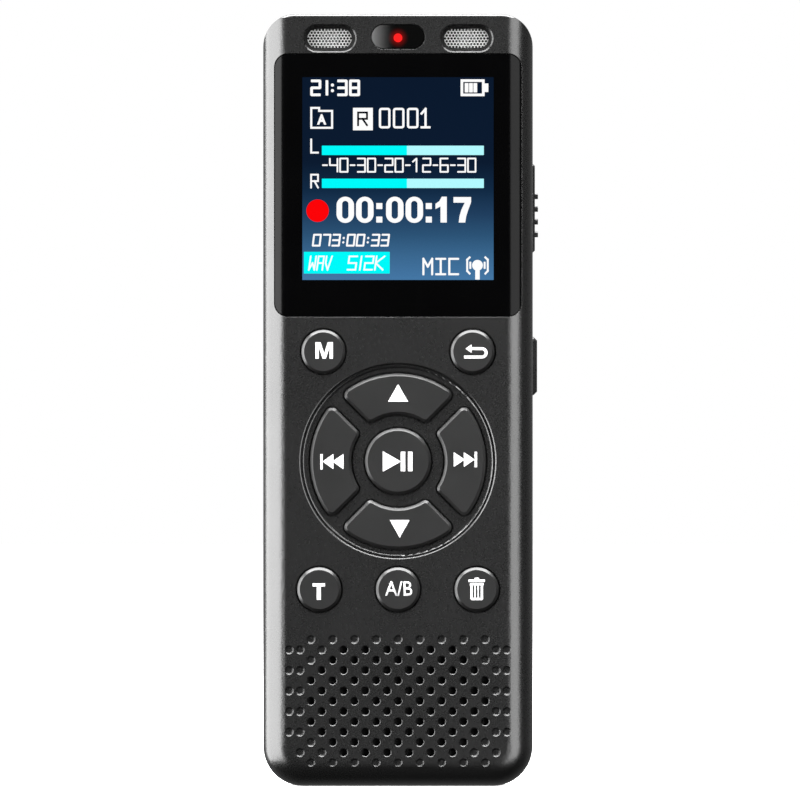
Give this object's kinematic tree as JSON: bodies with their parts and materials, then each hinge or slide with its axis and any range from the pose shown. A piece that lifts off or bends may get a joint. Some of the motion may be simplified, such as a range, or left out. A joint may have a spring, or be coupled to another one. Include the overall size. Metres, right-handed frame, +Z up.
{
  "type": "handheld voice recorder",
  "caption": "Slim handheld voice recorder with colour display, round ring keypad, drilled speaker grille, twin microphones and side controls.",
  "frame": {"origin": "middle of the flat lower end, at mid width and mid thickness", "axes": "+Z up the length of the body, -Y out of the front with the display and keys, +X to the right seen from the front"},
  "size_m": [0.0367, 0.0123, 0.103],
  "materials": {
    "shell_metal": "fine bead-blasted dark grey anodised shell",
    "key_metal": "satin dark grey metallic-painted key caps",
    "window_acrylic": "polished black-backed acrylic",
    "lens_acrylic": "smoked glossy acrylic",
    "display_glass": "display glass",
    "white_plastic": "white moulded plastic",
    "black_plastic": "black moulded plastic",
    "board_laminate": "green glass-fibre circuit board",
    "chip_epoxy": "black epoxy moulding",
    "plated_steel": "nickel-plated steel",
    "mesh_steel": "etched stainless mesh",
    "screw_steel": "black zinc-plated steel",
    "dome_steel": "spring steel domes",
    "magnet_steel": "zinc-plated magnet cup",
    "coil_copper": "enamelled copper winding",
    "silicone": "grey silicone rubber",
    "boot_rubber": "black rubber",
    "foam_tape": "black adhesive foam and cloth",
    "cone_paper": "coated paper cone",
    "battery_pouch": "laminated foil pouch",
    "flex_film": "amber polyimide film",
    "wire_insulation": "red wire insulation"
  },
  "bodies": {
    "case": {"front_shell": "shell_metal", "rear_shell": "shell_metal", "display_window": "window_acrylic", "indicator_lens": "lens_acrylic", "display_panel": "display_glass", "display_backlight": "white_plastic", "indicator_led": "white_plastic", "battery_connector": "white_plastic", "usb_tongue": "black_plastic", "headphone_jack": "black_plastic", "speaker_frame": "black_plastic", "main_board": "board_laminate", "battery_circuit": "board_laminate", "processor_chip": "chip_epoxy", "memory_chip": "chip_epoxy", "amplifier_chip": "chip_epoxy", "board_capacitors": "chip_epoxy", "quartz_crystal": "plated_steel", "usb_shell": "plated_steel", "jack_terminals": "plated_steel", "side_switch": "plated_steel", "slide_switch_body": "plated_steel", "microphone_capsule_left": "plated_steel", "microphone_capsule_right": "plated_steel", "microphone_mesh_left": "mesh_steel", "microphone_mesh_right": "mesh_steel", "case_screws": "screw_steel", "board_screws": "screw_steel", "key_domes": "dome_steel", "speaker_magnet": "magnet_steel", "speaker_coil": "coil_copper", "keypad_membrane": "silicone", "microphone_boot_left": "boot_rubber", "microphone_boot_right": "boot_rubber", "speaker_cloth": "foam_tape", "speaker_gasket": "foam_tape", "display_tape": "foam_tape", "battery_tape": "foam_tape", "speaker_cone": "cone_paper", "battery_cell": "battery_pouch", "display_flex": "flex_film", "battery_leads": "wire_insulation", "speaker_leads": "wire_insulation"},
    "key_menu": {"key_menu": "key_metal"},
    "key_back": {"key_back": "key_metal"},
    "key_timer": {"key_timer": "key_metal"},
    "key_repeat": {"key_repeat": "key_metal"},
    "key_delete": {"key_delete": "key_metal"},
    "key_play": {"key_play": "key_metal"},
    "key_up": {"key_up": "key_metal"},
    "key_down": {"key_down": "key_metal"},
    "key_previous": {"key_previous": "key_metal"},
    "key_next": {"key_next": "key_metal"},
    "side_button": {"side_button": "shell_metal"},
    "slide_knob": {"slide_knob": "shell_metal", "slide_switch_lever": "black_plastic"}
  },
  "joints": [
    {"name": "key_menu_press", "type": "slide", "parent": "case", "child": "key_menu", "axis": [0, 1, 0], "range_m": [0, 0.0003], "stiffness_N_per_m": 600},
    {"name": "key_back_press", "type": "slide", "parent": "case", "child": "key_back", "axis": [0, 1, 0], "range_m": [0, 0.0003], "stiffness_N_per_m": 600},
    {"name": "key_timer_press", "type": "slide", "parent": "case", "child": "key_timer", "axis": [0, 1, 0], "range_m": [0, 0.0003], "stiffness_N_per_m": 600},
    {"name": "key_repeat_press", "type": "slide", "parent": "case", "child": "key_repeat", "axis": [0, 1, 0], "range_m": [0, 0.0003], "stiffness_N_per_m": 600},
    {"name": "key_delete_press", "type": "slide", "parent": "case", "child": "key_delete", "axis": [0, 1, 0], "range_m": [0, 0.0003], "stiffness_N_per_m": 600},
    {"name": "key_play_press", "type": "slide", "parent": "case", "child": "key_play", "axis": [0, 1, 0], "range_m": [0, 0.0003], "stiffness_N_per_m": 600},
    {"name": "key_up_press", "type": "slide", "parent": "case", "child": "key_up", "axis": [0, 1, 0], "range_m": [0, 0.0003], "stiffness_N_per_m": 600},
    {"name": "key_down_press", "type": "slide", "parent": "case", "child": "key_down", "axis": [0, 1, 0], "range_m": [0, 0.0003], "stiffness_N_per_m": 600},
    {"name": "key_previous_press", "type": "slide", "parent": "case", "child": "key_previous", "axis": [0, 1, 0], "range_m": [0, 0.0003], "stiffness_N_per_m": 600},
    {"name": "key_next_press", "type": "slide", "parent": "case", "child": "key_next", "axis": [0, 1, 0], "range_m": [0, 0.0003], "stiffness_N_per_m": 600},
    {"name": "side_button_press", "type": "slide", "parent": "case", "child": "side_button", "axis": [-1, 0, 0], "range_m": [0, 0.0003], "stiffness_N_per_m": 600},
    {"name": "slide_knob_slide", "type": "slide", "parent": "case", "child": "slide_knob", "axis": [0, 0, -1], "range_m": [0, 0.0025]}
  ]
}
